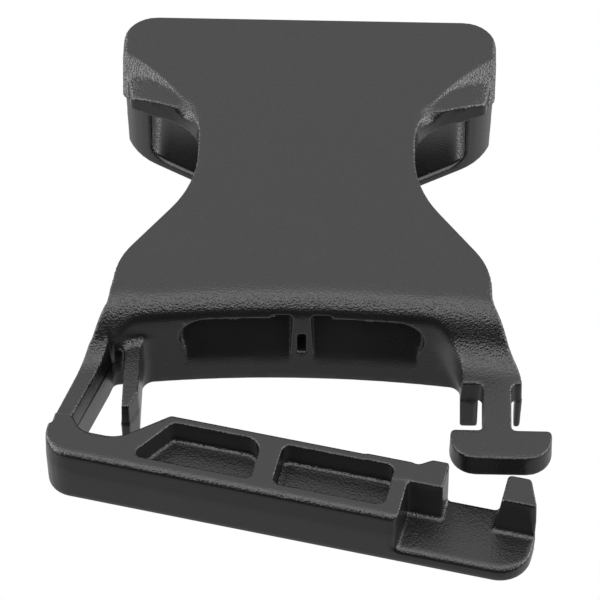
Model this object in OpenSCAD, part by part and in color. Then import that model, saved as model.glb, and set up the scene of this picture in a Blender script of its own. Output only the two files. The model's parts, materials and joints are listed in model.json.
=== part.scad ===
// Socket half of a side release buckle for 25 mm webbing, with a web bar that
// swings open on a moulded hinge. X runs across the webbing, +Y points to the
// mouth, Z is up, and the origin is the middle of the flat underside.

/* [Socket body] */
// Width across the mouth ring, at the top
body_w = 33.2; // [31:0.1:37]
// Length from the mouth to the middle of the end wall
body_l = 32.6; // [31:0.1:38]
// Height of the body
body_h = 10.6; // [10:0.1:13]
// Draft of each side, narrower at the underside
side_draft = 0.4; // [0:0.05:0.8]
// Radius of the long top edges
top_edge_r = 0.8; // [0.3:0.1:1.2]
// Width at the waist
waist_w = 18.95; // [16:0.1:21]
// Radius of the hollow of the waist
waist_r = 10.5; // [6:0.5:11]
// Slope of the flanks below the waist, from the length
flank_angle = 37; // [34:1:44]
// Width across the shoulders
shoulder_w = 32.4; // [31:0.1:33.2]
// Radius of the shoulders
shoulder_r = 7; // [4:0.2:9]
// Distance from the end wall to the corner that the shoulder rounds
shoulder_back = 4.3; // [3:0.1:4.5]

/* [Mouth ring] */
// Plan radius of the two corners at the mouth
mouth_r = 3; // [1:0.1:3.4]
// Length of the ring at the waist, from the mouth to its rear wall
ring_l = 10.85; // [10.7:0.05:12]
// Slope of the rear wall of the ring, from straight across
ring_rear_angle = 29; // [24:1:32]
// Plan radius of the ring's rear corners
ring_rear_r = 5.6; // [3:0.1:6]
// Length of the hood over the ring, at the waist, from the mouth
hood_l = 11.5; // [11.2:0.05:12]
// Slope of the hood's rear edge, from straight across
hood_rear_angle = 24; // [20:1:29]
// Plan radius of the hood's rear corners
hood_rear_r = 1.2; // [0.8:0.1:2]
// Plan radius between the top plate's waist and the hood
hood_r = 4; // [1:0.1:5]
// Width of the hollow that takes the plug
hollow_w = 27.9; // [26:0.1:28.4]
// Height of the hollow
hollow_h = 6.75; // [6:0.05:7]
// Radius along the edges of the hollow
hollow_r = 1.3; // [0.5:0.1:2]
// Thickness of the bottom plate
bottom_t = 1.15; // [1:0.05:1.6]
// Length of the side windows, along the waist from the ring's rear wall
side_window_l = 13.45; // [11:0.05:14]
// Side wall of the pocket beside the side windows' lower end
pocket_wall = 2; // [1.6:0.1:2.6]

/* [Finger scoops] */
// Plan radius of the scoop's upper edge
scoop_r = 19.5; // [18.5:0.1:20]
// Distance from the centre line to the middle of that radius
scoop_out = 27.1; // [26.5:0.1:27.5]
// Distance from the mouth to the middle of that radius
scoop_back = 20.4; // [19.8:0.1:21]
// Length of the scoop, from the mouth to where its edge ends at the waist
scoop_l = 15.3; // [14:0.1:15.8]
// Slope of the wall under that edge, from upright
scoop_wall = 45; // [30:1:50]
// Drop from the top face to the flat part of the ledge in the scoop
scoop_drop = 0.3; // [0.3:0.05:1]
// Distance from the centre line to where the ledge starts to fall
scoop_crest = 13.6; // [12.5:0.1:14]
// Slope at which the ledge falls outwards
scoop_fall = 25; // [15:1:30]
// How far the ledge's outer side lies inside the ring's side
scoop_inset = 0.3; // [0.2:0.05:0.8]
// Inward slope of the ledge's outer side towards the waist
scoop_slope = 10; // [6:1:15]

/* [End wall] */
// Radius in plan of the hollow end wall
bow_r = 112; // [90:1:200]
// Radius that rounds the top face down to the end wall
brow_r = 1.9; // [1:0.1:2]
// Thickness of the front of the end wall, round its windows
wall_t = 1.6; // [1.4:0.1:2]
// Thickness of the rear web behind the windows
web_t = 1; // [0.8:0.1:1.4]
// Distance from the centre line to each window's upper outer corner, unrounded
window_reach = 11.2; // [10:0.1:11.4]
// Height of the window's bottom edge
window_z = 2.62; // [2.2:0.02:3]
// Height of the window
window_h = 5.66; // [5:0.02:5.8]
// Radius at the window's upper outer corner
window_r = 2.4; // [1:0.1:2.5]
// How far the window's lower outer corner lies inside the upper one
window_slant = 1.5; // [0.2:0.1:2]
// Extra height of each window beside the stem
window_step = 0.38; // [0.1:0.02:0.6]
// Width of the stem between the windows
stem_w = 1.9; // [1.7:0.1:2.2]
// Width of the slot in the stem
stem_slot_w = 0.7; // [0.5:0.05:0.9]
// Height of the slot in the stem
stem_slot_h = 2.4; // [1.5:0.1:3]
// Half width of the rear web's middle part
web_half_w = 2.6; // [2:0.1:3.5]
// Height of the rear web's sill above the window's bottom edge
sill_h = 4.2; // [3.6:0.1:4.6]

/* [Arms] */
// Height of the arms, the prong, the hinge and the gate
arm_h = 6.2; // [5.6:0.1:6.4]
// Height of the mould's parting level, the underside of the catch
parting_z = 3.8; // [3.4:0.1:4]
// Distance between the centre line and the catch arm's inner side
arm_in = 13.6; // [13.2:0.1:14.4]
// Distance between the centre line and the catch arm's outer side
arm_out = 18.95; // [18.4:0.05:19.6]
// Length of the catch arm below the middle of the end wall
arm_l = 4.95; // [4.5:0.05:6]
// Slope at which the arms flare from the shoulders
flare_angle = 25; // [20:1:30]
// Radius where the flare turns straight
flare_r = 4.5; // [2:0.5:4.8]
// Distance from the middle of the end wall up to where the flare starts
flare_rise = 1.18; // [0.8:0.02:1.6]
// Radius between the end wall and the arms' tops
cove_r = 1.4; // [0.6:0.1:1.5]
// Plan radius between the end wall and the catch arm
nook_r = 1.1; // [0.5:0.1:1.5]
// Plan radius between the end wall and the prong
prong_nook_r = 1; // [0.3:0.1:1.2]

/* [Catch] */
// Width of the catch's T-shaped head
head_w = 8.76; // [8:0.02:9.4]
// Length of the head along the strap
head_l = 3.2; // [2.6:0.1:3.4]
// Distance from the centre line to the middle of the head
head_x = 17.06; // [16.8:0.02:17.4]
// Distance from the arm's end to the head
neck_l = 4.75; // [4.4:0.05:5.4]
// Width of the neck
neck_w = 2.6; // [2:0.1:3]
// Distance from the centre line to the middle of the neck
neck_x = 16.73; // [16.5:0.01:17]
// Radius of the head's front corners
head_r = 2.3; // [1:0.1:2.5]
// Radius of the head's rear corners
head_heel_r = 0.5; // [0.2:0.1:0.8]
// Width of the relief under the neck
relief_w = 3.1; // [2.7:0.1:3.5]
// How far the relief runs back into the arm
relief_l = 3.2; // [1:0.1:3.4]

/* [Prong] */
// Width of the prong
prong_w = 1.54; // [1.2:0.02:1.7]
// Distance from the centre line to the prong's inner side
prong_in = 13.64; // [13.3:0.02:14]
// Distance from the middle of the end wall to the prong's tip
prong_reach = 8.18; // [6.5:0.02:8.4]
// Length of the slant at the prong's tip
prong_slant = 1.65; // [0.5:0.05:2.5]
// Width of the prong's flat tip
prong_tip_w = 0.75; // [0.4:0.05:1]

/* [Hinge] */
// Width across the hinge strap
hinge_w = 1.83; // [1.4:0.01:2]
// Distance from the centre line to the hinge's outer side at its root
hinge_out = 18.28; // [18:0.02:18.7]
// Distance from the middle of the end wall to the hinge's root
hinge_back = 2.3; // [2.1:0.05:2.6]
// Distance between the hinge's root and its turning point, across
turn_dx = 1.25; // [1:0.01:1.5]
// Distance between the hinge's root and its turning point, along
turn_dy = 3.2; // [3:0.01:3.5]
// Angle by which the gate stands open
gate_open = 12.4; // [11:0.1:14]

/* [Gate] */
// Length of the gate
gate_l = 42.07; // [41.7:0.01:42.6]
// Depth of the gate along the strap
gate_d = 6.2; // [5.8:0.1:6.5]
// How far the closed gate passes the head's outer end
end_lap = 0.39; // [0.2:0.01:0.6]
// How far the closed gate passes the head's front
front_lap = 0.38; // [0.2:0.01:0.6]
// Radius of the corner at the hinge
heel_r = 2.4; // [1.5:0.1:2.8]
// Radius of the corner at the free end
toe_r = 2.8; // [1.5:0.1:3]
// Radius of the dip that clears the prong, on its far side
dip_r = 3; // [2.6:0.1:3.4]
// Radius of the dip on its hinge side
dip_near_r = 1.4; // [0.8:0.1:1.5]
// Distance from the gate's hinge end to the dip's near corner
dip_start = 2.97; // [2.7:0.01:3.1]
// Length of the dip's floor, before its corners are rounded
dip_l = 3.17; // [3:0.01:3.6]
// Thickness of the gate under the dip
dip_t = 2.87; // [2.6:0.01:3.2]
// Slope of the dip's far side
dip_angle = 57; // [50:1:65]
// Width of the stub that meets the hinge
stub_w = 1.6; // [1.4:0.02:1.8]
// How far the stub is set in from the gate's hinge end
stub_in = 0.28; // [0.2:0.01:0.4]
// Distance from the gate's front to the stub's end
stub_d = 4.23; // [4:0.01:4.5]
// Distance from the gate's front to the step at the stub's outer side
step_d = 3.2; // [2.9:0.1:3.4]
// Radius of the gate's small outer corners
corner_r = 0.5; // [0.2:0.1:0.6]

/* [Gate pockets] */
// Depth of the two pockets
pocket_depth = 2.4; // [1.5:0.1:3.5]
// Wall between the pockets and the gate's front
front_wall = 1.27; // [1:0.01:1.6]
// Wall between the pockets and the gate's inner side
inner_wall = 0.8; // [0.7:0.01:1.2]
// Wall between the dip and the first pocket
dip_wall = 1.7; // [1.2:0.01:2]
// Length of the first pocket's front side
pocket_one_l = 10.84; // [9:0.01:12]
// Radius of the pockets' corners
pocket_r = 0.7; // [0.3:0.1:1]
// Radius of the first pocket's large corner
pocket_big_r = 1.3; // [0.5:0.1:1.8]
// Rib between the pockets
rib_t = 1.86; // [1.2:0.01:2.4]
// Wall between the second pocket and the catch recess
recess_wall = 1.39; // [1:0.01:2]

/* [Catch recess] */
// Thickness of the floor under the catch
floor_t = 1.8; // [1.4:0.1:2]
// Gap between the closed catch and the recess's end
recess_play = 1.95; // [1.5:0.01:2.2]
// Gap between the closed catch and the tab and post
catch_play = 0.54; // [0.3:0.01:0.7]
// Depth of the tab and the post along the strap
tab_d = 2.8; // [2.4:0.1:3.2]
// Width of the tab
tab_w = 2.97; // [2.6:0.01:3.3]
// Width of the post at its front
post_w = 3.07; // [2.7:0.01:3.2]
// Width of the post at its nose
nose_w = 2; // [1.2:0.05:2.2]
// How much wider the post's inner side is at its foot
post_flare = 1; // [0.2:0.1:1.2]
// How much of that widening is in the bevel along the post's top
post_bevel = 0.5; // [0.1:0.05:0.6]

/* [Hidden] */

// Each rounded corner has this many straight steps
steps = 10;
// Overlap that keeps cuts and joins clean
lap = 0.1;
$fn = 64;

half_w = body_w / 2;
half_waist = waist_w / 2;
half_shoulder = shoulder_w / 2;
mouth_y = body_l / 2;
wall_y = -body_l / 2;

// Plan of the body
ring_y = mouth_y - ring_l;
hood_y = mouth_y - hood_l;
shoulder_y = wall_y + shoulder_back;
waist_low_y = shoulder_y + (half_shoulder - half_waist) / tan(flank_angle);
body_tail = 3;

// Hollow
hollow_top = bottom_t + hollow_h;
side_window_end = ring_y - side_window_l;
flank_x = half_waist + (waist_low_y - side_window_end) * tan(flank_angle);
pocket_half_w = flank_x - pocket_wall;
pocket_end = wall_y + wall_t + web_t;

// Scoops
scoop_y = mouth_y - scoop_back;
scoop_top = body_h - scoop_drop;
scoop_depth = body_h - parting_z;
scoop_edge_y = scoop_y + sqrt(pow(scoop_r, 2) - pow(scoop_out - half_w, 2));

// End wall
function wall_at(x) = wall_y - bow_r + sqrt(pow(bow_r, 2) - pow(x, 2));
window_in = stem_w / 2;
window_top = window_z + window_h;

// Catch
arm_end = wall_y - arm_l;
head_back = arm_end - neck_l;
head_front = head_back - head_l;
head_in = head_x - head_w / 2;
head_out = head_x + head_w / 2;

// Prong
prong_out = prong_in + prong_w;
prong_tip = wall_y - prong_reach;

// Hinge
root_y = wall_y - hinge_back;
root_in = hinge_out - hinge_w;
turn_x = -(hinge_out + root_in) / 2 - turn_dx;
turn_y = root_y - turn_dy;

// Gate, where it lies closed
gate_right = head_out + end_lap;
gate_left = gate_right - gate_l;
gate_front = head_front - front_lap;
gate_back = gate_front + gate_d;
dip_floor = gate_front + dip_t;
dip_low_x = gate_left + dip_start + dip_l;
dip_high_x = dip_low_x + (gate_back - dip_floor) / tan(dip_angle);
stub_x = gate_left + stub_in;
stub_y = gate_front + stub_d;
recess_x = head_in - recess_play;
catch_face = head_back + catch_play;
tab_back = catch_face + tab_d;
post_x = gate_right - post_w;
post_taper = post_w - nose_w;

// Pockets
pocket_front = gate_front + front_wall;
pocket_back = gate_back - inner_wall;
pocket_base = arm_h - pocket_depth;
pocket_start = dip_low_x + (pocket_front - dip_floor) / tan(dip_angle) + dip_wall / sin(dip_angle);
pocket_one_end = pocket_start + pocket_one_l;
pocket_two_start = pocket_one_end + rib_t;
pocket_two_end = recess_x - recess_wall;

// Stub corners of the gate as it stands open
function opened(p) =
    let (d = p - [turn_x, turn_y], c = cos(-gate_open), s = sin(-gate_open))
    [turn_x + d.x * c - d.y * s, turn_y + d.x * s + d.y * c];

function unit(v) = v / norm(v);

// Points of one corner b between a and c, rounded to radius r
function round_corner(a, b, c, r) =
    r <= 0 ? [b] :
    let (
        u = unit(a - b),
        v = unit(c - b),
        half = acos(u * v) / 2,
        mid = b + unit(u + v) * r / sin(half),
        p = b + u * r / tan(half) - mid,
        q = b + v * r / tan(half) - mid,
        start = atan2(p.y, p.x),
        swing = atan2(q.y, q.x) - start,
        turn = swing > 180 ? swing - 360 : swing < -180 ? swing + 360 : swing
    )
    [for (i = [0 : steps]) mid + r * [cos(start + turn * i / steps), sin(start + turn * i / steps)]];

// Outline through corners, each given as [x, y, radius]
function rounded(corners) =
    let (n = len(corners), at = function (i) [corners[i % n][0], corners[i % n][1]])
    [for (i = [0 : n - 1]) each round_corner(at(i + n - 1), at(i), at(i + 1), corners[i][2])];

function mirrored(corners) =
    concat(corners, [for (i = [len(corners) - 1 : -1 : 0]) [-corners[i][0], corners[i][1], corners[i][2]]]);

// Fillet piece in the corner at p, where the free space lies towards q
module fillet_piece(p, q, r) {
    difference() {
        translate([q.x > 0 ? p.x - lap : p.x - r, q.y > 0 ? p.y - lap : p.y - r]) square(r + lap);
        translate([p.x + q.x * r, p.y + q.y * r]) circle(r);
    }
}

// A profile drawn in X and Z, run along Y
module along_y(from, to) {
    translate([0, to, 0]) rotate([90, 0, 0]) linear_extrude(to - from) children();
}

// Solid swept round the axis of the hollow end wall, drawn in radius and Z
module round_the_wall() {
    translate([0, wall_y - bow_r, 0]) rotate_extrude($fn = 360) children();
}

module body_plan(rear_y, rear_angle, rear_r, waist_corner_r) {
    polygon(rounded(mirrored([
        [half_w, mouth_y, mouth_r],
        [half_w, rear_y + (half_w - half_waist) * tan(rear_angle), rear_r],
        [half_waist, rear_y, waist_corner_r],
        [half_waist, waist_low_y, waist_r],
        [half_shoulder, shoulder_y, shoulder_r],
        [half_shoulder, wall_y - body_tail, 0]
    ])));
}

module body_section() {
    polygon(rounded(mirrored([
        [half_w, body_h, top_edge_r],
        [half_w - side_draft, 0, 0]
    ])));
}

module end_wall_cutter() {
    round_the_wall() difference() {
        translate([bow_r - 2 * body_tail, -lap]) square([2 * body_tail + brow_r, body_h + 2 * lap]);
        translate([bow_r, -2 * lap]) square([2 * brow_r, body_h - brow_r + 2 * lap]);
        translate([bow_r + brow_r, body_h - brow_r]) circle(brow_r);
    }
}

module scoop_cutter() {
    difference() {
        translate([scoop_out, scoop_y, parting_z])
            cylinder(
                h = scoop_depth + lap,
                r1 = scoop_r - scoop_depth * tan(scoop_wall),
                r2 = scoop_r + lap * tan(scoop_wall),
                $fn = 120
            );
        translate([0, -body_l, 0]) cube([half_waist, 2 * body_l, 2 * body_h]);
        translate([0, mouth_y - scoop_l - 2 * body_l, 0]) cube([2 * body_w, 2 * body_l, 2 * body_h]);
        intersection() {
            along_y(-body_l, body_l)
                polygon([
                    [0, 0],
                    [0, scoop_top],
                    [scoop_crest, scoop_top],
                    [body_w, scoop_top - (body_w - scoop_crest) * tan(scoop_fall)],
                    [body_w, 0]
                ]);
            translate([half_w - scoop_inset, scoop_edge_y, 0]) rotate(-scoop_slope)
                translate([-2 * body_w, -body_l, 0]) cube([2 * body_w, 2 * body_l, body_h]);
        }
    }
}

module hollow() {
    along_y(side_window_end, mouth_y + lap)
        polygon(rounded(mirrored([
            [hollow_w / 2, hollow_top, hollow_r],
            [hollow_w / 2, bottom_t, hollow_r]
        ])));
    along_y(pocket_end, side_window_end + lap)
        polygon(rounded(mirrored([
            [pocket_half_w, hollow_top, hollow_r],
            [pocket_half_w, bottom_t, hollow_r]
        ])));
}

// One of the two windows in the end wall, with the opening in the web behind
module end_window() {
    along_y(wall_y - body_tail, wall_y + wall_t) {
        polygon(rounded([
            [window_in, window_z, 0],
            [window_reach - window_slant, window_z, 0],
            [window_reach, window_top, window_r],
            [window_in, window_top, 0]
        ]));
        translate([window_in, window_z]) square([web_half_w - window_in, window_h + window_step]);
    }
    along_y(wall_y, pocket_end + lap)
        translate([web_half_w, window_z + sill_h])
            square([window_reach - window_r - web_half_w, hollow_top - window_z - sill_h]);
}

module stem_slot() {
    along_y(wall_y - lap, pocket_end + lap)
        translate([-stem_slot_w / 2, parting_z]) square([stem_slot_w, stem_slot_h]);
}

module catch_arm_plan() {
    polygon(rounded([
        [arm_in, wall_y + flare_rise, 0],
        [arm_in, arm_end, 0],
        [arm_out, arm_end, 0],
        [arm_out, wall_y + flare_rise - (arm_out - half_shoulder) / tan(flare_angle), flare_r],
        [half_shoulder, wall_y + flare_rise, 0]
    ]));
    fillet_piece([arm_in, wall_at(arm_in)], [-1, -1], nook_r);
}

module hinge_root_plan() {
    polygon([
        [-half_shoulder, wall_y + flare_rise],
        [-hinge_out, root_y],
        [-root_in, root_y],
        [-root_in + hinge_back - flare_rise, wall_y + flare_rise]
    ]);
}

module prong_plan() {
    polygon([
        [-prong_in, wall_y],
        [-prong_out, wall_y],
        [-prong_out, prong_tip],
        [-prong_out + prong_tip_w, prong_tip],
        [-prong_in, prong_tip + prong_slant]
    ]);
    fillet_piece([-prong_in, wall_at(prong_in)], [1, -1], prong_nook_r);
}

module head_plan() {
    polygon(rounded([
        [head_in, head_back, head_heel_r],
        [head_out, head_back, head_heel_r],
        [head_out, head_front, head_r],
        [head_in, head_front, head_r]
    ]));
}

// Hollow round that blends the arms' tops into the end wall
module cove() {
    round_the_wall() difference() {
        translate([bow_r - cove_r, arm_h - lap]) square([cove_r + lap, cove_r + lap]);
        translate([bow_r - cove_r, arm_h + cove_r]) circle(cove_r);
    }
}

module arms_plan() {
    catch_arm_plan();
    hinge_root_plan();
    prong_plan();
}

module body_shell() {
    difference() {
        intersection() {
            union() {
                linear_extrude(body_h) body_plan(ring_y, ring_rear_angle, ring_rear_r, corner_r);
                translate([0, 0, hollow_top]) linear_extrude(body_h - hollow_top)
                    body_plan(hood_y, hood_rear_angle, hood_rear_r, hood_r);
            }
            along_y(-body_l, body_l) body_section();
        }
        end_wall_cutter();
        scoop_cutter();
        mirror([1, 0, 0]) scoop_cutter();
        hollow();
        end_window();
        mirror([1, 0, 0]) end_window();
        stem_slot();
    }
}

module catch_neck_and_head() {
    translate([0, 0, parting_z]) linear_extrude(arm_h - parting_z) {
        head_plan();
        translate([neck_x - neck_w / 2, head_back - lap]) square([neck_w, neck_l + 2 * lap]);
    }
}

module relief() {
    translate([neck_x - relief_w / 2, arm_end - lap, -lap])
        cube([relief_w, relief_l + lap, parting_z + lap]);
}

module socket_body() {
    color("#3c3c3c") {
        body_shell();
        difference() {
            union() {
                linear_extrude(arm_h) arms_plan();
                intersection() {
                    cove();
                    linear_extrude(body_h) arms_plan();
                    along_y(-body_l, body_l) body_section();
                }
            }
            relief();
        }
        catch_neck_and_head();
    }
}

module hinge_arm() {
    color("#444444") linear_extrude(arm_h)
        polygon([
            [-hinge_out, root_y],
            opened([stub_x, stub_y]),
            opened([stub_x + stub_w, stub_y]),
            [-root_in, root_y]
        ]);
}

module gate_bar_plan() {
    polygon(rounded([
        [gate_left, gate_front, heel_r],
        [recess_x, gate_front, 0],
        [recess_x, gate_back, 0],
        [dip_high_x, gate_back, corner_r],
        [dip_low_x, dip_floor, dip_r],
        [gate_left + dip_start, dip_floor, dip_near_r],
        [stub_x + stub_w, stub_y, 0],
        [stub_x, stub_y, 0],
        [stub_x, gate_front + step_d, 0],
        [gate_left, gate_front + step_d - stub_in, 0]
    ]));
}

module pockets() {
    rise = pocket_back - pocket_front;
    polygon(rounded([
        [pocket_start, pocket_front, pocket_r],
        [pocket_one_end, pocket_front, pocket_r],
        [pocket_one_end, pocket_back, pocket_big_r],
        [pocket_start + rise / tan(dip_angle), pocket_back, pocket_r]
    ]));
    polygon(rounded([
        [pocket_two_start, pocket_front, pocket_r],
        [pocket_two_end, pocket_front, pocket_r],
        [pocket_two_end, pocket_back, pocket_r],
        [pocket_two_start, pocket_back, pocket_r]
    ]));
}

module catch_floor_plan() {
    polygon(rounded([
        [recess_x - lap, gate_front, 0],
        [gate_right, gate_front, toe_r],
        [gate_right, catch_face, 0],
        [gate_right - post_taper * (gate_back - catch_face) / tab_d, gate_back, 0],
        [recess_x - lap, gate_back, 0]
    ]));
}

module tab_plan() {
    polygon(rounded([
        [recess_x - lap, catch_face, 0],
        [recess_x + tab_w, catch_face, 0],
        [recess_x + tab_w, tab_back, corner_r],
        [recess_x + tab_w / 2, tab_back, corner_r],
        [recess_x + tab_w / 2 - (tab_back - gate_back), gate_back, corner_r],
        [recess_x - lap, gate_back, 0]
    ]));
}

module post() {
    intersection() {
        linear_extrude(arm_h)
            polygon(rounded([
                [post_x - post_flare, catch_face, 0],
                [gate_right, catch_face, 0],
                [gate_right - post_taper, tab_back, corner_r],
                [post_x - post_flare, tab_back, corner_r]
            ]));
        along_y(catch_face - lap, tab_back + lap)
            polygon([
                [post_x - post_flare, 0],
                [post_x - post_flare, floor_t],
                [post_x - post_bevel, arm_h - post_bevel],
                [post_x, arm_h],
                [gate_right, arm_h],
                [gate_right, 0]
            ]);
    }
}

// The gate as it lies closed, with the catch's head in its recess
module closed_gate() {
    difference() {
        linear_extrude(arm_h) gate_bar_plan();
        translate([0, 0, pocket_base]) linear_extrude(pocket_depth + lap) pockets();
    }
    linear_extrude(floor_t) catch_floor_plan();
    linear_extrude(arm_h) tab_plan();
    post();
}

module gate() {
    color("#404040")
        translate([turn_x, turn_y, 0]) rotate(-gate_open) translate([-turn_x, -turn_y, 0])
            closed_gate();
}

socket_body();
hinge_arm();
gate();
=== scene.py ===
"""Looks of the socket half of a side release buckle, laid out as an add-on.

The three moulded pieces are each described as a distance field in millimetres, in
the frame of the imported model, so that every corner gets the moulding radius it
needs. The field is then turned into a mesh, and the mesh takes its normals from
the field. One operator builds each piece, one the stage, and main() runs them all.
"""

import itertools
import json
import math

import bpy
import numpy as np
import openvdb
from bpy.props import FloatProperty, PointerProperty, StringProperty
from mathutils import Matrix, Vector


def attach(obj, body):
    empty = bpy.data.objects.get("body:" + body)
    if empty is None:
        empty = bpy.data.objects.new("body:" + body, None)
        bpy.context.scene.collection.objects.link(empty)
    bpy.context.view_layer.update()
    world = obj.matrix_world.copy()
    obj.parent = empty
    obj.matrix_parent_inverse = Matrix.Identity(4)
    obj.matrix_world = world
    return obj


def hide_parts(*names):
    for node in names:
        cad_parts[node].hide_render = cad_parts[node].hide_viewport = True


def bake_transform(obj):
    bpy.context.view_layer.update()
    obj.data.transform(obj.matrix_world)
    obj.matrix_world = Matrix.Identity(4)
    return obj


bl_info = {
    "name": "Side release buckle socket",
    "version": (1, 0, 0),
    "blender": (4, 5, 0),
    "location": "View3D > Sidebar > Buckle",
    "description": "Builds the moulded looks of a buckle socket round its packed frame",
    "category": "Object",
}

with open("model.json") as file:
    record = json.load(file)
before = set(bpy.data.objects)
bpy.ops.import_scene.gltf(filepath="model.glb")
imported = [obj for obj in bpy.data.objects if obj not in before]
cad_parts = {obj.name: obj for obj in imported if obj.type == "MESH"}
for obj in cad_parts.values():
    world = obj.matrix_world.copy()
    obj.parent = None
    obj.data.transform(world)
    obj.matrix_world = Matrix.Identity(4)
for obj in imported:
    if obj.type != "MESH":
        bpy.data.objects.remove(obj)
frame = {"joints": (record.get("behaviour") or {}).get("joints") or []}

MM = 0.001

# The pieces' sizes are in millimetres. A name that ends in _R is a corner's or an edge's radius.
# What is added to it is named _MORE. It grows over the stretch that is named _RISE, from the first
# place to the second, and is lost over the one that is named _FADE.

# Body in plan
HALF_W = 16.6
SIDE_LEAN = 0.4
MOUTH_Y = 16.3
MOUTH_CORNER_R = 3.0
RING_Y = 5.45
RING_CORNER_Y = 9.4
RING_CORNER_R = 5.6
RING_WAIST_R = 0.5
HOOD_Y = 4.8
HOOD_CORNER_Y = 7.972
HOOD_CORNER_R = 1.2
HOOD_WAIST_R = 4.0
HALF_WAIST = 9.475
WAIST_LOW_Y = -3.076
WAIST_LOW_R = 10.5
SHOULDER_Y = -12.0
SHOULDER_HALF_W = 16.2
SHOULDER_R = 7.0
WALL_Y = -16.3
WALL_OVERRUN = 3
BOW_R = 112.0
ARM_START = WALL_Y + 1.18

# Body in height
BODY_H = 10.6
ARM_H = 6.2
PLATE_T = 1.15
FOOT_R = 0.3
PARTING_Z = 3.8
PARTING_STEP = 0.04
PARTING_BAND = 0.1
DRAFT = 0.025

# Upper edges, the brow that rolls over the end wall, and the cove under it
SIDE_EDGE_R = 0.8
SHOULDER_EDGE_MORE = 0.4
SHOULDER_EDGE_RISE = (-6, -11)
ARM_EDGE_R = 0.18
BROW_EDGE_MORE = 0.17
BROW_EDGE_RISE = (-21.5, -19.5)
BROW_R = 2.7
BROW_END = math.radians(68)
COVE_R = 3.1

# Nooks: the upright corners where the catch arm, the strap and the prong leave the end wall
NOOK_R = 2.1
CATCH_NOOK_R = 0.3
CATCH_NOOK_MORE = 0.6
CATCH_NOOK_RISE = (0.5, 7.0)
CATCH_NOOK_FADE = (14.6, 16.4)
STRAP_NOOK_R = 0.3
STRAP_NOOK_RISE = (1.0, 7.0)
STRAP_NOOK_FADE = (-15.9, -16.7)
PRONG_NOOK_R = 0.35
PRONG_NOOK_MORE = 0.6
PRONG_NOOK_RISE_Z = (5.2, 6.2)
PRONG_NOOK_RISE_X = (-15.0, -13.9)

# Finger scoops: middle and radius of the upper edge, then the ledge
SCOOP_X = 27.1
SCOOP_Y = -4.1
SCOOP_R = 19.5
SCOOP_WALL = math.radians(45)
SCOOP_NEAR = HALF_WAIST + 0.3
SCOOP_NEAR_R = 1.5
SCOOP_END = 1.0
SCOOP_EDGE_R = 0.15
SCOOP_EDGE_MORE = 1.3
SCOOP_WAIST_RISE = (12.2, 10.6)
SCOOP_RING_RISE = (7.0, 5.4)
SCOOP_END_RISE = (1.2, 4.0)
LEDGE_DROP = 0.3
LEDGE_CREST = 13.6
LEDGE_CREST_R = 1.0
LEDGE_FALL = math.radians(25)
LEDGE_SIDE = 16.45
LEDGE_SIDE_Y = 11.9
LEDGE_SIDE_SLOPE = math.radians(10)
LEDGE_SIDE_R = 0.3
LEDGE_FOOT_R = 0.1

# Hollow for the plug, the pocket behind the end wall, and the slot in the stem between the windows
HOLLOW_TOP = 7.9
HOLLOW_HALF_W = 13.95
HOLLOW_R = 1.3
HOLLOW_EDGE_R = 0.3
SIDE_WINDOW_END = -8.0
POCKET_HALF_W = 11.19
POCKET_END = -13.7
POCKET_END_R = 0.6
POCKET_OVERRUN = 1
STEM_SLOT_HALF_W = 0.35
STEM_SLOT_H = 2.4
STEM_SLOT_R = 0.1

# Windows in the end wall: sill, stem and head of the pane, then the peak beside the stem
WALL_T = 1.6
SILL_Z = 2.62
SILL_END = 9.7
STEM_FOOT = 1.07
STEM_MIDDLE = 0.95
STEM_HEAD = 0.82
PANE_TOP = 8.28
PANE_END = 11.2
PEAK_FOOT = 6.0
PEAK_TOP = 8.66
PEAK_END = 2.6
PANE_BACK_INSET = 0.12
PANE_BACK_R = 0.1
PANE_BACK_MORE = 0.3
PANE_BACK_RISE_X = (7.0, 9.0)
PANE_BACK_RISE_Z = (3.0, 4.5)
WINDOW_EDGE_R = 0.13
WINDOW_EDGE_MORE = 0.12
WINDOW_EDGE_RISE = (4, 7)
WEB_Z = 7.3
WEB_START = 2.6
WEB_END = 8.8

# Catch arm with its neck and T head, and the relief under the arm
CATCH_SLOT_X = 13.6
CATCH_SIDE_X = 18.95
CATCH_SIDE_Y = -20.16
CATCH_END = -21.25
HEAD_LEFT = 12.68
HEAD_RIGHT = 21.44
HEAD_BACK = -26.0
HEAD_FRONT = -29.2
HEAD_BACK_R = 0.5
HEAD_FRONT_R = 2.3
HEAD_FILLET_R = 0.35
NECK_LEFT = 15.43
NECK_RIGHT = 18.03
NECK_BACK = -20.0
NECK_FRONT = -27.0
NECK_FILLET_R = 0.45
CROWN_EDGE_R = 0.15
CROWN_LAP = 0.3
RELIEF_LEFT = 15.18
RELIEF_RIGHT = 18.28
RELIEF_BACK = -18.05
RELIEF_FRONT = -24.0
RELIEF_R = 0.3
RELIEF_EDGE_R = 0.2

# Prong, which stands across the slot from the catch arm
PRONG_SLOT_X = -13.64
PRONG_STRAP_X = -15.18
PRONG_TIP_X = -14.43
PRONG_END = -24.48
PRONG_BEVEL_Y = -22.83
PRONG_EDGE_R = 0.15

# Hinge strap, and the turning point of the gate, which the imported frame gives
ROOT_Y = -18.6
ROOT_OUT = 18.28
ROOT_IN = 16.45
ROOT_FLARE = 1.12
STRAP_SIDE_X = -15.25
STRAP_EDGE_R = 0.25
STUB_OVERRUN = 0.5
LAP = 0.3
OPEN_ANGLE = math.radians(12.4)
TURN = [length / MM for length in frame["joints"][0]["pos_m"][:2]]

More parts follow.
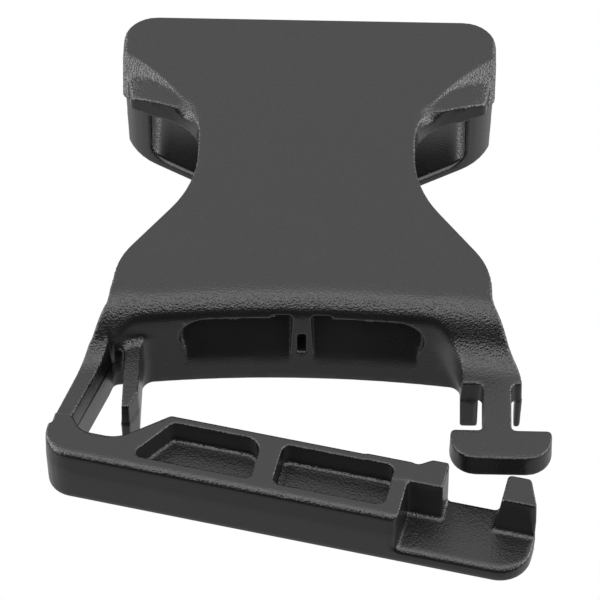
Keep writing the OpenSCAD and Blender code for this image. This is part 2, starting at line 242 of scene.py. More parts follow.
# Gate, where it lies closed: its ends, then the recess for the head, the tab and the post
GATE_LEFT = -20.24
GATE_RIGHT = 21.83
GATE_FRONT = -29.58
GATE_BACK = -23.38
GATE_EDGE_R = 0.28
GATE_FRONT_MORE = 0.32
GATE_FRONT_RISE = (-28.0, -29.0)
END_TAPER = 1.07
STUB_LEFT = -19.96
STUB_RIGHT = -18.36
STUB_Y = -25.35
STUB_STEP_L = 3.2
END_STEP_L = 2.92
DIP_START = -10.33
DIP_RIGHT = -14.1
DIP_LEFT = -17.27
DIP_Y = -26.71
BAR_EDGE_R = 0.2
RECESS_X = 10.73
RECESS_T = 1.8
RECESS_FILLET_R = 0.35
CATCH_FACE = -25.46
TAB_LEFT = RECESS_X - 4
TAB_RIGHT = RECESS_X + 2.97
TAB_BACK = -22.66
TAB_OVERRUN = 2
TAB_START = 12.215
TAB_FOOT = 11.2
POST_X = 18.76
POST_LEAN = 0.12
POST_CREST_R = 0.45
POST_EDGE_R = 0.25
POST_FILLET_R = 0.4

# Pockets in the gate
FRONT_WALL_T = 1.27
BACK_WALL_T = 0.8
LEFT_POCKET_X = -12.58
LEFT_POCKET_L = 10.42
LEFT_POCKET_LEAN = math.radians(57)
RIGHT_POCKET_X = -0.3
RIGHT_POCKET_END = 9.34
RIGHT_POCKET_R = 0.7
GATE_POCKET_FLOOR_R = 0.35
GATE_POCKET_EDGE_R = 0.16

# Grids for the fields: lowest and highest corner
SOCKET_GRID = ((-19.2, -29.9, -0.6), (22.1, 17.0, 11.3))
STRAP_GRID = ((-21.6, -26.4, -0.4), (-15.2, -17.6, 9.4))
GATE_GRID = ((-20.9, -30.2, -0.5), (22.5, -22.0, 6.9))

# In grid steps: how far from the surface a field is kept, and how far off its slope is taken
BAND_STEPS = 3
SLOPE_STEPS = 0.75

# Acetal: gloss along the flow marks, then the strength of the grain over the slope of a face
# (1 is level) and over its height in metres. Steep faces, rubbed tops and the plate show less.
ACETAL_IOR = 1.48
FLOW_SHARES = {"From Min": 0.3, "From Max": 0.7}
FLOW_GLOSSIER = 0.03
FLOW_DULLER = 0.04
STEEP_GRAIN = {"From Min": 0.25, "From Max": 0.6, "To Min": 0.18, "To Max": 1.0}
RUBBED_GRAIN = {"From Min": 0.85, "From Max": 0.97, "To Min": 1.0, "To Max": 0.55}
PLATE_GRAIN = {"From Min": 1.3 * MM, "From Max": 1.7 * MM, "To Min": 0.2, "To Max": 1.0}

# Light box: degrees from the front horizon over the top, and brightness where the floor is 1.
# The first two rows are its ends, which the colour ramp has from the start.
LIGHT_BOX = (
    (-180, 0.6),
    (180, 0.6),
    (-110, 0.6),
    (-75, 0.6),
    (-48, 0.5),
    (-34, 0.03),
    (10, 0.03),
    (30, 1.6),
    (44, 3.2),
    (66, 4.4),
    (92, 2.4),
    (112, 1.6),
    (150, 1.4),
)
BRIGHTEST = 4.5

# Side panels of the light box, as parts of the way from its middle to its sides and to its top:
# where they begin, the height of their middle, and how far above and below it they fade
PANEL_REACH = {"From Min": 0.68, "From Max": 0.84}
PANEL_HEIGHT = 0.1
PANEL_FADE = {"From Min": 0.36, "From Max": 0.16}

# Stage: the point that the camera looks at and the sensor in millimetres, the rest in metres
LOOK_AT = (-0.25, -12.3, 6.0)
SENSOR_W = 36
CLIP_NEAR = 0.01
CLIP_FAR = 20
FLOOR_HALF_W = 2.5

# Colour sockets of a Mix node, which share their names with its other sockets
MIX_FIRST = 6
MIX_SECOND = 7
MIX_RESULT = 2


def linear(code):
    """A #rrggbb colour as linear RGBA."""
    parts = [int(code[i:i + 2], 16) / 255 for i in (1, 3, 5)]
    return [c / 12.92 if c <= 0.04045 else ((c + 0.055) / 1.055) ** 2.4 for c in parts] + [1.0]


# Distance fields. Negative is inside, and arrays broadcast over X, Y and Z.

def axes(low, high, step):
    """The grid's X, Y and Z as arrays that broadcast to the whole grid."""
    lines = [np.arange(a, b + step, step, dtype=np.float32) for a, b in zip(low, high)]
    return lines[0][:, None, None], lines[1][None, :, None], lines[2][None, None, :]


def join(a, b, r):
    """Union with a fillet of radius r in the corner."""
    corner = np.hypot(np.maximum(r - a, 0), np.maximum(r - b, 0))
    return np.maximum(r, np.minimum(a, b)) - corner


def meet(a, b, r):
    """Intersection with its edge rounded to radius r."""
    edge = np.hypot(np.maximum(r + a, 0), np.maximum(r + b, 0))
    return np.minimum(-r, np.maximum(a, b)) + edge


def cut(a, b, r):
    """a without b, with the edge rounded to radius r."""
    return meet(a, -b, r)


def ramp(v, start, end):
    """0 at start, 1 at end and smooth between them, whichever of the two is larger."""
    t = np.clip((v - start) / (end - start), 0, 1)
    return t * t * (3 - 2 * t)


def box2(u, v, low, high, r=0.0):
    """Distance to a rectangle from low to high with corner radius r."""
    a = np.abs(u - (low[0] + high[0]) / 2) - (high[0] - low[0]) / 2 + r
    b = np.abs(v - (low[1] + high[1]) / 2) - (high[1] - low[1]) / 2 + r
    return np.hypot(np.maximum(a, 0), np.maximum(b, 0)) + np.minimum(np.maximum(a, b), 0) - r


def rounded(corners, steps=8):
    """Outline through corners given as (x, y, radius)."""
    points = []
    n = len(corners)
    for i, (x, y, r) in enumerate(corners):
        b = np.array([x, y], float)
        if r <= 0:
            points.append(tuple(b))
            continue
        u = np.array(corners[i - 1][:2], float) - b
        v = np.array(corners[(i + 1) % n][:2], float) - b
        u /= np.linalg.norm(u)
        v /= np.linalg.norm(v)
        half = math.acos(max(-1, min(1, float(u @ v)))) / 2
        mid = b + (u + v) / np.linalg.norm(u + v) * r / math.sin(half)
        p, q = b + u * r / math.tan(half) - mid, b + v * r / math.tan(half) - mid
        start = math.atan2(p[1], p[0])
        swing = (math.atan2(q[1], q[0]) - start + math.pi) % (2 * math.pi) - math.pi
        for k in range(steps + 1):
            angle = start + swing * k / steps
            points.append((mid[0] + r * math.cos(angle), mid[1] + r * math.sin(angle)))
    return points


def mirrored(corners):
    """The corners of a right half, followed by those of the left half back to the start."""
    return corners + [(-x, y, r) for x, y, r in reversed(corners)]


def outline(points, u, v):
    """Distance to a closed outline in the plane of u and v."""
    shape = np.broadcast(u, v).shape
    nearest = np.full(shape, np.inf, np.float32)
    inside = np.zeros(shape, bool)
    for (ax, ay), (bx, by) in zip(points, points[1:] + points[:1]):
        ex, ey = bx - ax, by - ay
        length = ex * ex + ey * ey
        if length < 1e-12:
            continue
        wu, wv = u - np.float32(ax), v - np.float32(ay)
        t = np.clip((wu * np.float32(ex) + wv * np.float32(ey)) / np.float32(length), 0, 1)
        nearest = np.minimum(nearest, (wu - ex * t) ** 2 + (wv - ey * t) ** 2)
        if abs(ey) > 1e-9:
            inside ^= ((ay > v) != (by > v)) & (u < ax + (v - ay) * (ex / ey))
    return (np.where(inside, -1, 1) * np.sqrt(nearest)).astype(np.float32)


def about_turn(point, angle):
    """A point of the plan, turned about the gate's turning point."""
    dx, dy = point[0] - TURN[0], point[1] - TURN[1]
    x = TURN[0] + dx * math.cos(angle) - dy * math.sin(angle)
    y = TURN[1] + dx * math.sin(angle) + dy * math.cos(angle)
    return x, y


# Faces that several fields share

def body_plan(x, y, corner_y, corner_r, rear_y, waist_r):
    """Plan of the body, with the ring's rear side and its corners where they are given."""
    return outline(rounded(mirrored([
        (HALF_W, MOUTH_Y, MOUTH_CORNER_R),
        (HALF_W, corner_y, corner_r),
        (HALF_WAIST, rear_y, waist_r),
        (HALF_WAIST, WAIST_LOW_Y, WAIST_LOW_R),
        (SHOULDER_HALF_W, SHOULDER_Y, SHOULDER_R),
        (SHOULDER_HALF_W, WALL_Y - WALL_OVERRUN, 0),
    ])), x, y)


def end_wall(x, y):
    """The bowed face of the end wall, with the body on its inner side."""
    return BOW_R - np.hypot(x, y - (WALL_Y - BOW_R))


def drafted(plan, z, step=PARTING_STEP):
    """A plan drafted both ways from the parting level, where the mould halves leave a fine step."""
    above = ramp(z, PARTING_Z - PARTING_BAND, PARTING_Z + PARTING_BAND)
    return plan + DRAFT * np.abs(z - PARTING_Z) + step * above


def top_field(x, y, z):
    """Everything under the top face, the brow over the end wall and the cove out to the arms."""
    overhang = BROW_R * (1 - math.sin(BROW_END))
    return join(meet(end_wall(x, y) - overhang, z - BODY_H, BROW_R), z - ARM_H, COVE_R)


def shell_plan(x, y, z):
    """The upright faces of the body without its arms. The hood overhangs the ring's rear side."""
    ring = body_plan(x, y, RING_CORNER_Y, RING_CORNER_R, RING_Y, RING_WAIST_R)
    hood = body_plan(x, y, HOOD_CORNER_Y, HOOD_CORNER_R, HOOD_Y, HOOD_WAIST_R)
    side = np.minimum(ring, np.maximum(hood, HOLLOW_TOP - z))
    outer = np.abs(x) - (HALF_W - SIDE_LEAN * (1 - z / BODY_H))
    edge = SIDE_EDGE_R + SHOULDER_EDGE_MORE * ramp(y, *SHOULDER_EDGE_RISE)
    return np.maximum(np.maximum(end_wall(x, y), side), meet(outer, z - BODY_H, edge))


def hinge_field(x, y, z, base):
    """A field with the hinge's root and strap joined to it, up to the stub of the open gate."""
    stub_y = STUB_Y - STUB_OVERRUN
    plan = outline([
        (-SHOULDER_HALF_W, ARM_START),
        (-ROOT_OUT, ROOT_Y),
        about_turn((STUB_LEFT, stub_y), -OPEN_ANGLE),
        about_turn((STUB_RIGHT, stub_y), -OPEN_ANGLE),
        (-ROOT_IN, ROOT_Y),
        (-ROOT_IN + ROOT_FLARE, ARM_START),
    ], x, y)
    nook = NOOK_R * ramp(z, *STRAP_NOOK_RISE) * (1 - ramp(x, *STRAP_NOOK_FADE))
    return join(base, drafted(plan, z), STRAP_NOOK_R + nook)


# Parts of the body

def catch_plan(x, y, z):
    """Catch arm with its relief below, and its neck and head above the parting level."""
    arm = outline(rounded([
        (CATCH_SLOT_X, ARM_START, 0),
        (CATCH_SLOT_X, CATCH_END, 0),
        (CATCH_SIDE_X, CATCH_END, 0.4),
        (CATCH_SIDE_X, CATCH_SIDE_Y, 4.5),
        (SHOULDER_HALF_W, ARM_START, 0),
    ]), x, y)
    head = outline(rounded([
        (HEAD_LEFT, HEAD_BACK, HEAD_BACK_R),
        (HEAD_RIGHT, HEAD_BACK, HEAD_BACK_R),
        (HEAD_RIGHT, HEAD_FRONT, HEAD_FRONT_R),
        (HEAD_LEFT, HEAD_FRONT, HEAD_FRONT_R),
    ]), x, y)
    neck = box2(x, y, (NECK_LEFT, NECK_FRONT), (NECK_RIGHT, NECK_BACK))
    relief = box2(x, y, (RELIEF_LEFT, RELIEF_FRONT), (RELIEF_RIGHT, RELIEF_BACK), RELIEF_R)
    plan = join(arm, join(neck, head, HEAD_FILLET_R), NECK_FILLET_R)
    crown = meet(drafted(plan, z), PARTING_Z - z, CROWN_EDGE_R)
    base = cut(drafted(arm, z), relief, RELIEF_EDGE_R)
    return np.minimum(crown, np.maximum(base, z - PARTING_Z - CROWN_LAP))


def prong_field(x, y, z):
    """Prong, bevelled at its tip on the side of the slot."""
    plan = outline(rounded([
        (PRONG_SLOT_X, ARM_START, 0),
        (PRONG_STRAP_X, ARM_START, 0),
        (PRONG_STRAP_X, PRONG_END, 0.15),
        (PRONG_TIP_X, PRONG_END, 0.15),
        (PRONG_SLOT_X, PRONG_BEVEL_Y, 0.3),
    ]), x, y)
    return meet(drafted(plan, z), z - ARM_H, PRONG_EDGE_R)


def scoop_field(x, y, z):
    """Finger scoop, a sloping wall down to a ledge that falls outwards, and its edge's radius."""
    across = np.abs(x)
    well = np.hypot(across - SCOOP_X, y - SCOOP_Y) - SCOOP_R + (BODY_H - z) * math.tan(SCOOP_WALL)
    well = meet(well * math.cos(SCOOP_WALL), SCOOP_NEAR - across, SCOOP_NEAR_R)
    well = np.maximum(well, SCOOP_END - y)
    below = z - (BODY_H - LEDGE_DROP)
    falling = below * math.cos(LEDGE_FALL) + (across - LEDGE_CREST) * math.sin(LEDGE_FALL)
    outwards = (across - LEDGE_SIDE) * math.cos(LEDGE_SIDE_SLOPE)
    beside = outwards - (y - LEDGE_SIDE_Y) * math.sin(LEDGE_SIDE_SLOPE)
    ledge = meet(meet(falling, below, LEDGE_CREST_R), beside, LEDGE_SIDE_R)
    soft = SCOOP_EDGE_MORE * ramp(across, *SCOOP_WAIST_RISE) * ramp(y, *SCOOP_RING_RISE)
    edge = SCOOP_EDGE_R + soft * ramp(y, *SCOOP_END_RISE)
    return meet(np.maximum(well, PARTING_Z - z), -ledge, LEDGE_FOOT_R), edge


def passage(x, z, half_w):
    """A passage along Y of that half width, from the plate up to the top of the hollow."""
    return box2(x, z, (-half_w, PLATE_T), (half_w, HOLLOW_TOP), HOLLOW_R)


def window_field(x, y, z):
    """Windows in the end wall.

    Their back leans away from the sill, and opens into the pocket above the web.
    """
    across = np.abs(x)
    pane = outline(rounded([
        (STEM_FOOT, SILL_Z, 0),
        (SILL_END, SILL_Z, 0.3),
        (PANE_END, PANE_TOP, 2.4),
        (STEM_HEAD, PANE_TOP, 0.3),
    ]), across, z)
    peak = outline(rounded([
        (STEM_MIDDLE, PEAK_FOOT, 0),
        (PEAK_END, PEAK_FOOT, 0),
        (PEAK_END, PEAK_TOP, 0.35),
        (STEM_HEAD, PEAK_TOP, 0.4),
    ]), across, z)
    lean = WALL_T / (PEAK_TOP - SILL_Z)
    depth = PANE_BACK_INSET - end_wall(x, y)
    back = (depth - lean * (z - SILL_Z)) / math.hypot(1, lean)
    soft = PANE_BACK_MORE * ramp(across, *PANE_BACK_RISE_X) * ramp(z, *PANE_BACK_RISE_Z)
    panes = meet(np.minimum(pane, peak), back, PANE_BACK_R + soft)
    opening = box2(across, z, (WEB_START, WEB_Z), (WEB_END, HOLLOW_TOP))
    return np.minimum(panes, np.maximum(opening, y - POCKET_END - POCKET_OVERRUN))


def stem_slot_field(x, y, z):
    """Slot in the stem between the windows, open to the pocket."""
    top = PARTING_Z + STEM_SLOT_H
    slot = box2(x, z, (-STEM_SLOT_HALF_W, PARTING_Z), (STEM_SLOT_HALF_W, top))
    return np.maximum(slot, y - POCKET_END - POCKET_OVERRUN)


# The three pieces

def body_field(x, y, z):
    """The body with its ring, end wall, catch arm and prong, and the root of the hinge."""
    nook = CATCH_NOOK_MORE + NOOK_R * ramp(z, *CATCH_NOOK_RISE)
    nook = CATCH_NOOK_R + nook * (1 - ramp(x, *CATCH_NOOK_FADE))
    solid = join(shell_plan(x, y, z), catch_plan(x, y, z), nook)
    beyond_root = np.minimum(ROOT_Y - y, STRAP_SIDE_X - x)
    solid = np.maximum(hinge_field(x, y, z, solid), beyond_root)
    edge = ARM_EDGE_R + BROW_EDGE_MORE * ramp(y, *BROW_EDGE_RISE)
    solid = meet(solid, top_field(x, y, z), edge)
    scoop, scoop_edge = scoop_field(x, y, z)
    solid = cut(solid, scoop, scoop_edge)

    hollow = np.maximum(passage(x, z, HOLLOW_HALF_W), SIDE_WINDOW_END - y)
    pocket = meet(passage(x, z, POCKET_HALF_W), POCKET_END - y, POCKET_END_R)
    solid = cut(solid, np.minimum(hollow, pocket), HOLLOW_EDGE_R)
    window_edge = WINDOW_EDGE_R + WINDOW_EDGE_MORE * ramp(z, *WINDOW_EDGE_RISE)
    solid = cut(solid, window_field(x, y, z), window_edge)
    solid = cut(solid, stem_slot_field(x, y, z), STEM_SLOT_R)

    nook = np.maximum(ramp(x, *PRONG_NOOK_RISE_X), ramp(z, *PRONG_NOOK_RISE_Z))
    solid = join(solid, prong_field(x, y, z), PRONG_NOOK_R + PRONG_NOOK_MORE * nook)
    return meet(solid, -z, FOOT_R)


def strap_field(x, y, z):
    """The hinge strap, from just inside its root to just inside the gate's stub."""
    solid = meet(hinge_field(x, y, z, shell_plan(x, y, z)), top_field(x, y, z), STRAP_EDGE_R)
    return meet(np.maximum(solid, y - ROOT_Y - LAP), -z, FOOT_R)


def gate_pockets(x, y):
    """Plan of the gate's two pockets. The left one leans on the side of the dip."""
    front = GATE_FRONT + FRONT_WALL_T
    back = GATE_BACK - BACK_WALL_T
    left_end = LEFT_POCKET_X + LEFT_POCKET_L
    left = outline(rounded([
        (LEFT_POCKET_X, front, 0.5),
        (left_end, front, 0.5),
        (left_end, back, 1.3),
        (LEFT_POCKET_X + (back - front) / math.tan(LEFT_POCKET_LEAN), back, 0.8),
    ]), x, y)
    right = outline(rounded([
        (RIGHT_POCKET_X, front, RIGHT_POCKET_R),
        (RIGHT_POCKET_END, front, RIGHT_POCKET_R),
        (RIGHT_POCKET_END, back, RIGHT_POCKET_R),
        (RIGHT_POCKET_X, back, RIGHT_POCKET_R),
    ]), x, y)
    return np.minimum(left, right)


def gate_field(x, y, z):
    """The gate where it lies closed."""
    bar = meet(x - RECESS_X, z - ARM_H, BAR_EDGE_R)
    floor = meet(z - RECESS_T, y - GATE_BACK, BAR_EDGE_R)
    tab = outline(rounded([
        (TAB_LEFT, CATCH_FACE, 0),
        (TAB_RIGHT, CATCH_FACE, 0.2),
        (TAB_RIGHT, TAB_BACK + TAB_OVERRUN, 0),
        (TAB_LEFT, TAB_BACK + TAB_OVERRUN, 0),
    ]), x, y)
    post_side = POST_X - POST_LEAN * (ARM_H - z) - x
    post = np.maximum(CATCH_FACE - y, meet(post_side, z - ARM_H, POST_CREST_R))
    solid = join(bar, floor, RECESS_FILLET_R)
    solid = join(solid, meet(tab, z - ARM_H, BAR_EDGE_R), RECESS_FILLET_R)
    solid = join(solid, meet(post, z - ARM_H, POST_EDGE_R), POST_FILLET_R)

    rim = outline(rounded([
        (GATE_LEFT, GATE_FRONT, 2.4),
        (GATE_RIGHT, GATE_FRONT, 2.8),
        (GATE_RIGHT, CATCH_FACE, 0.2),
        (GATE_RIGHT - END_TAPER, TAB_BACK, 0.5),
        (TAB_START, TAB_BACK, 0.8),
        (TAB_FOOT, GATE_BACK, 0.8),
        (DIP_START, GATE_BACK, 0.6),
        (DIP_RIGHT, DIP_Y, 3.0),
        (DIP_LEFT, DIP_Y, 1.4),
        (STUB_RIGHT, STUB_Y, 0),
        (STUB_LEFT, STUB_Y, 0),
        (STUB_LEFT, GATE_FRONT + STUB_STEP_L, 0.2),
        (GATE_LEFT, GATE_FRONT + END_STEP_L, 0.3),
    ]), x, y)
    rim_edge = GATE_EDGE_R + GATE_FRONT_MORE * ramp(y, *GATE_FRONT_RISE)
    solid = meet(solid, drafted(rim, z, 0.0), rim_edge)
    pockets = meet(gate_pockets(x, y), PARTING_Z - z, GATE_POCKET_FLOOR_R)
    return meet(cut(solid, pockets, GATE_POCKET_EDGE_R), -z, FOOT_R)


# Meshes from fields

def sample(field, places):
    """The field between its grid points, at places in grid steps."""
    base = np.clip(np.floor(places).astype(int), 0, np.array(field.shape) - 2)
    share = (places - base).astype(np.float32)
    shares = (1 - share, share)
    total = 0
    for dx, dy, dz in itertools.product((0, 1), repeat=3):
        weight = shares[dx][:, 0] * shares[dy][:, 1] * shares[dz][:, 2]
        total = total + weight * field[base[:, 0] + dx, base[:, 1] + dy, base[:, 2] + dz]
    return total


def mesh_from(name, limits, step, make, adaptivity):
    """An object with the surface of a field, in metres, with the field's own normals."""
    low, high = limits
    x, y, z = axes(low, high, step)
    field = np.ascontiguousarray(make(x, y, z), dtype=np.float32)
    band = BAND_STEPS * step
    grid = openvdb.FloatGrid(band)
    grid.copyFromArray(np.clip(field, -band, band))
    points, triangles, quads = grid.convertToPolygons(isovalue=0.0, adaptivity=adaptivity)
    normals = np.stack([
        sample(field, points + shift) - sample(field, points - shift)
        for shift in np.eye(3) * SLOPE_STEPS
    ], axis=1)
    normals /= np.maximum(np.linalg.norm(normals, axis=1, keepdims=True), 1e-9)
    faces = [tuple(face[::-1]) for face in triangles.tolist() + quads.tolist()]
    mesh = bpy.data.meshes.new(name)
    mesh.from_pydata((points * step + np.array(low)) * MM, [], faces)
    mesh.shade_smooth()
    mesh.update()
    probe = mesh.polygons[len(faces) // 2]
    if probe.normal.dot(Vector(normals[probe.vertices[0]])) < 0:
        mesh.flip_normals()
    mesh.normals_split_custom_set_from_vertices(normals.tolist())
    shape = bpy.data.objects.new(name, mesh)
    bpy.context.scene.collection.objects.link(shape)
    return shape


# Materials

def add(tree, kind, inputs=None, **settings):
    """A node of that kind with its settings; an input takes a value or another node's output."""
    item = tree.nodes.new(kind)
    for key, value in settings.items():
        setattr(item, key, value)
    for key, value in (inputs or {}).items():
        if isinstance(value, bpy.types.NodeSocket):
            tree.links.new(value, item.inputs[key])
        else:
            item.inputs[key].default_value = value
    return item


def acetal(name, settings, grain_depth):
    """Black acetal (POM) from a spark-eroded mould: deep black, a satin gloss and a fine grain.

    The grain of such a mould is about 0.03 mm wide. It is drawn grain_width wide, so that it shows.
    """
    material = bpy.data.materials.new(name)
    material.use_nodes = True
    tree = material.node_tree
    tree.nodes.clear()
    coordinates = add(tree, "ShaderNodeTexCoord")
    place = coordinates.outputs["Object"]
    fine = add(tree, "ShaderNodeTexNoise", {
        "Vector": place, "Scale": 1 / settings.grain_width, "Detail": 1.0, "Roughness": 0.5,
    })
    flow = add(tree, "ShaderNodeTexNoise", {
        "Vector": place, "Scale": 1 / settings.flow_width, "Detail": 2.0, "Roughness": 0.5,
    })
    rough = add(tree, "ShaderNodeMapRange", {
        "Value": flow.outputs["Fac"],
        "To Min": settings.roughness - FLOW_GLOSSIER,
        "To Max": settings.roughness + FLOW_DULLER,
        **FLOW_SHARES,
    })
    facing = add(tree, "ShaderNodeSeparateXYZ", {0: coordinates.outputs["Normal"]})
    height = add(tree, "ShaderNodeSeparateXYZ", {0: place})
    upward = facing.outputs["Z"]
    steep = add(tree, "ShaderNodeMapRange", {"Value": upward, **STEEP_GRAIN})
    rubbed = add(tree, "ShaderNodeMapRange", {"Value": upward, **RUBBED_GRAIN})
    plate = add(tree, "ShaderNodeMapRange", {"Value": height.outputs["Z"], **PLATE_GRAIN})
    outside = add(tree, "ShaderNodeMath", {
        0: rubbed.outputs["Result"], 1: plate.outputs["Result"],
    }, operation="MULTIPLY")
    eroded = add(tree, "ShaderNodeMath", {
        0: steep.outputs["Result"], 1: outside.outputs["Value"],
    }, operation="MULTIPLY")
    bump = add(tree, "ShaderNodeBump", {
        "Height": fine.outputs["Fac"], "Strength": eroded.outputs["Value"], "Distance": grain_depth,
    })
    shader = add(tree, "ShaderNodeBsdfPrincipled", {
        "Base Color": linear(settings.colour), "Metallic": 0.0, "IOR": ACETAL_IOR,
        "Roughness": rough.outputs["Result"], "Normal": bump.outputs["Normal"],
    })
    add(tree, "ShaderNodeOutputMaterial", {"Surface": shader.outputs["BSDF"]})
    return material


def finish_piece(shape, material):
    """Gives a piece its material."""
    shape.data.materials.append(material)


# Settings

class BuckleMesh(bpy.types.PropertyGroup):
    """How finely the fields are turned into meshes"""
    body_step: FloatProperty(
        name="Body grid step",
        description="Distance between the grid points of the body's field",
        default=0.13 * MM, min=0.1 * MM, max=0.4 * MM, precision=5, subtype="DISTANCE",
    )
    gate_step: FloatProperty(
        name="Gate grid step",
        description="Distance between the grid points of the gate's and the strap's fields",
        default=0.1 * MM, min=0.08 * MM, max=0.3 * MM, precision=5, subtype="DISTANCE",
    )
    adaptivity: FloatProperty(
        name="Merging on flat faces",
        description="How far the faces of a flat stretch are merged, from 0 for not at all",
        default=0.03, min=0.0, max=0.3, subtype="FACTOR",
    )


class BuckleFinish(bpy.types.PropertyGroup):
    """Colour, grain and gloss of the acetal"""
    colour: StringProperty(
        name="Acetal colour",
        description="Colour of the acetal as an sRGB hex value",
        default="#0c0c0c",
    )
    grain_width: FloatProperty(
        name="Grain width",
        description="Width of one grain of the spark-eroded surface, as drawn",
        default=0.17 * MM, min=0.05 * MM, max=0.5 * MM, precision=5, subtype="DISTANCE",
    )
    body_grain: FloatProperty(
        name="Grain depth on the body",
        description="Depth of the grain on the body and the hinge strap",
        default=0.12 * MM, min=0.0, max=0.5 * MM, precision=5, subtype="DISTANCE",
    )
    gate_grain: FloatProperty(
        name="Grain depth on the gate",
        description="Depth of the grain on the gate",
        default=0.08 * MM, min=0.0, max=0.5 * MM, precision=5, subtype="DISTANCE",
    )
    flow_width: FloatProperty(
        name="Width of the flow marks",
        description="Width of the stretches that differ in gloss where the plastic flowed",
        default=6.0 * MM, min=1.0 * MM, max=20.0 * MM, precision=4, subtype="DISTANCE",
    )
    roughness: FloatProperty(
        name="Roughness",
        description="Middle roughness of the acetal, between its flow marks",
        default=0.28, min=0.1, max=0.9, subtype="FACTOR",
    )


class BuckleStage(bpy.types.PropertyGroup):
    """Camera and light"""
    elevation: FloatProperty(
        name="Camera elevation",
        description="Angle of the camera above the horizon",
        default=math.radians(51.0), min=0.0, max=math.pi / 2, subtype="ANGLE",
    )
    azimuth: FloatProperty(
        name="Camera azimuth",
        description="Angle of the camera round the buckle, from the gate's side",
        default=math.radians(1.4), min=-math.pi, max=math.pi, subtype="ANGLE",
    )
    distance: FloatProperty(
        name="Camera distance",
        description="Distance from the camera to the point that it looks at",
        default=411.2 * MM, min=100.0 * MM, max=2000.0 * MM, precision=4, subtype="DISTANCE",
    )
    lens: FloatProperty(
        name="Lens",
        description="Focal length of the camera's lens in millimetres",
        default=286.2, min=20.0, max=500.0, subtype="DISTANCE_CAMERA",
    )
    sides: FloatProperty(
        name="Light from the sides",
        description="Brightness of the light box's side panels, where the floor is 1",
        default=8.0, min=0.0, max=20.0,
    )


# Operators

class BUCKLE_OT_socket(bpy.types.Operator):
    """Build the body with its mouth ring, end wall, catch arm, prong and hinge root"""
    bl_idname = "buckle.socket"
    bl_label = "Socket body"

    def execute(self, context):
        mesh, look = context.scene.buckle_mesh, context.scene.buckle_finish
        step = mesh.body_step / MM
        shape = mesh_from("socket_moulding", SOCKET_GRID, step, body_field, mesh.adaptivity)
        skin = acetal("black acetal, spark-eroded grain", look, look.body_grain)
        finish_piece(shape, skin)
        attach(shape, "socket")
        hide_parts("socket_body")
        return {"FINISHED"}


class BUCKLE_OT_hinge(bpy.types.Operator):
    """Build the moulded hinge strap, which runs between the body and the gate"""
    bl_idname = "buckle.hinge"
    bl_label = "Hinge strap"

    def execute(self, context):
        mesh, look = context.scene.buckle_mesh, context.scene.buckle_finish
        step = mesh.gate_step / MM
        shape = mesh_from("hinge_strap", STRAP_GRID, step, strap_field, 0.0)
        skin = acetal("black acetal, satin hinge", look, look.body_grain)
        finish_piece(shape, skin)
        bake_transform(shape)
        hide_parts("hinge_arm")
        return {"FINISHED"}


class BUCKLE_OT_gate(bpy.types.Operator):
    """Build the gate with its two pockets, dip, tab and post"""
    bl_idname = "buckle.gate"
    bl_label = "Gate"

    def execute(self, context):
        mesh, look = context.scene.buckle_mesh, context.scene.buckle_finish
        step = mesh.gate_step / MM
        shape = mesh_from("gate_moulding", GATE_GRID, step, gate_field, mesh.adaptivity)
        turn = Vector((TURN[0] * MM, TURN[1] * MM, 0))
        opened = Matrix.Rotation(-OPEN_ANGLE, 4, "Z")
        swing = Matrix.Translation(turn) @ opened @ Matrix.Translation(-turn)
        normals = [swing.to_3x3() @ Vector(c.vector) for c in shape.data.corner_normals]
        shape.data.transform(swing)
        shape.data.normals_split_custom_set([tuple(normal) for normal in normals])
        skin = acetal("black acetal, satin gate", look, look.gate_grain)
        finish_piece(shape, skin)
        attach(shape, "gate")
        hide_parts("gate")
        return {"FINISHED"}


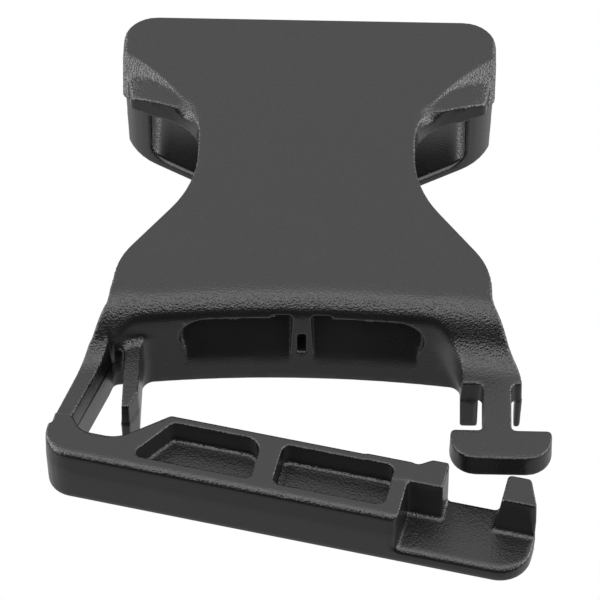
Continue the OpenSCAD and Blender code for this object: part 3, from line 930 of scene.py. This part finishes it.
class BUCKLE_OT_stage(bpy.types.Operator):
    """Build the floor, the light and the camera"""
    bl_idname = "buckle.stage"
    bl_label = "Stage"

    def execute(self, context):
        stage = context.scene.buckle_stage
        self.floor()
        self.world(context, stage)
        self.camera(context, stage)
        context.scene.view_settings.view_transform = "Standard"
        return {"FINISHED"}

    @staticmethod
    def floor():
        """A lit white table, as bright as paper; the light box gives the object its light."""
        w = FLOOR_HALF_W
        mesh = bpy.data.meshes.new("floor")
        mesh.from_pydata([(-w, -w, 0), (w, -w, 0), (w, w, 0), (-w, w, 0)], [], [(0, 1, 2, 3)])
        shape = bpy.data.objects.new("floor", mesh)
        bpy.context.scene.collection.objects.link(shape)
        material = bpy.data.materials.new("lit white table")
        material.use_nodes = True
        tree = material.node_tree
        tree.nodes.clear()
        glow = add(tree, "ShaderNodeEmission", {"Color": linear("#ffffff"), "Strength": 1.0})
        add(tree, "ShaderNodeOutputMaterial", {"Surface": glow.outputs["Emission"]})
        mesh.materials.append(material)
        shape.visible_glossy = False
        shape.visible_diffuse = False

    @staticmethod
    def world(context, stage):
        """A light box with a bright panel at each side.

        Its brightness follows the angle from the front horizon over the top.
        """
        world = bpy.data.worlds.new("light box")
        context.scene.world = world
        world.use_nodes = True
        tree = world.node_tree
        tree.nodes.clear()
        place = add(tree, "ShaderNodeTexCoord")
        split = add(tree, "ShaderNodeSeparateXYZ", {0: place.outputs["Generated"]})
        sideways, inwards, upwards = (split.outputs[axis] for axis in "XYZ")
        back = add(tree, "ShaderNodeMath", {0: inwards, 1: -1.0}, operation="MULTIPLY")
        angle = add(tree, "ShaderNodeMath", {0: upwards, 1: back.outputs["Value"]}, operation="ARCTAN2")
        share = add(tree, "ShaderNodeMapRange", {
            "Value": angle.outputs["Value"], "From Min": -math.pi, "From Max": math.pi,
        })
        tones = add(tree, "ShaderNodeValToRGB", {"Fac": share.outputs["Result"]})
        elements = tones.color_ramp.elements
        for index, (degrees, brightness) in enumerate(LIGHT_BOX):
            position = (degrees + 180) / 360
            element = elements[index] if index < 2 else elements.new(position)
            element.position = position
            element.color = (brightness / BRIGHTEST,) * 3 + (1,)

        aside = add(tree, "ShaderNodeMath", {0: sideways}, operation="ABSOLUTE")
        reach = add(tree, "ShaderNodeMapRange", {"Value": aside.outputs["Value"], **PANEL_REACH})
        level = add(tree, "ShaderNodeMath", {0: upwards, 1: -PANEL_HEIGHT}, operation="ADD")
        off_level = add(tree, "ShaderNodeMath", {0: level.outputs["Value"]}, operation="ABSOLUTE")
        beside = add(tree, "ShaderNodeMapRange", {"Value": off_level.outputs["Value"], **PANEL_FADE})
        panel = add(tree, "ShaderNodeMath", {
            0: reach.outputs["Result"], 1: beside.outputs["Result"],
        }, operation="MULTIPLY")
        mix = add(tree, "ShaderNodeMix", {
            "Factor": panel.outputs["Value"],
            MIX_FIRST: tones.outputs["Color"],
            MIX_SECOND: (stage.sides / BRIGHTEST,) * 3 + (1,),
        }, data_type="RGBA")
        light = add(tree, "ShaderNodeBackground", {
            "Color": mix.outputs[MIX_RESULT], "Strength": BRIGHTEST,
        })
        add(tree, "ShaderNodeOutputWorld", {"Surface": light.outputs["Background"]})

    @staticmethod
    def camera(context, stage):
        """The camera of the photograph, fitted to the buckle's parallel edges."""
        e, a = stage.elevation, stage.azimuth
        back = Vector((math.sin(a) * math.cos(e), -math.cos(a) * math.cos(e), math.sin(e)))
        right = Vector((math.cos(a), math.sin(a), 0))
        lens = bpy.data.cameras.new("camera")
        lens.lens = stage.lens
        lens.sensor_width = SENSOR_W
        lens.clip_start = CLIP_NEAR
        lens.clip_end = CLIP_FAR
        shape = bpy.data.objects.new("camera", lens)
        context.scene.collection.objects.link(shape)
        place = Matrix((right, back.cross(right), back)).transposed().to_4x4()
        place.translation = Vector(LOOK_AT) * MM + back * stage.distance
        shape.matrix_world = place
        context.scene.camera = shape


class BUCKLE_PT_panel(bpy.types.Panel):
    """Sizes, finish and stage of the buckle"""
    bl_idname = "BUCKLE_PT_panel"
    bl_label = "Buckle"
    bl_space_type = "VIEW_3D"
    bl_region_type = "UI"
    bl_category = "Buckle"

    def draw(self, context):
        for settings in GROUPS:
            group = getattr(context.scene, settings)
            box = self.layout.box()
            for name in group.__annotations__:
                box.prop(group, name)
        for operator in OPERATORS:
            self.layout.operator(operator.bl_idname)


OPERATORS = (BUCKLE_OT_socket, BUCKLE_OT_hinge, BUCKLE_OT_gate, BUCKLE_OT_stage)
GROUPS = {"buckle_mesh": BuckleMesh, "buckle_finish": BuckleFinish, "buckle_stage": BuckleStage}
CLASSES = (*GROUPS.values(), *OPERATORS, BUCKLE_PT_panel)


def register():
    """Registers the classes and hangs each group of settings on the scene."""
    for item in CLASSES:
        bpy.utils.register_class(item)
    for name, group in GROUPS.items():
        setattr(bpy.types.Scene, name, PointerProperty(type=group))


def unregister():
    """Takes back what register() did, in the opposite order."""
    for name in GROUPS:
        delattr(bpy.types.Scene, name)
    for item in reversed(CLASSES):
        bpy.utils.unregister_class(item)


def main():
    """Builds the pieces and the stage."""
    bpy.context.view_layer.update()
    register()
    for operator in OPERATORS:
        group, name = operator.bl_idname.split(".")
        getattr(getattr(bpy.ops, group), name)()


if __name__ == "__main__":
    main()
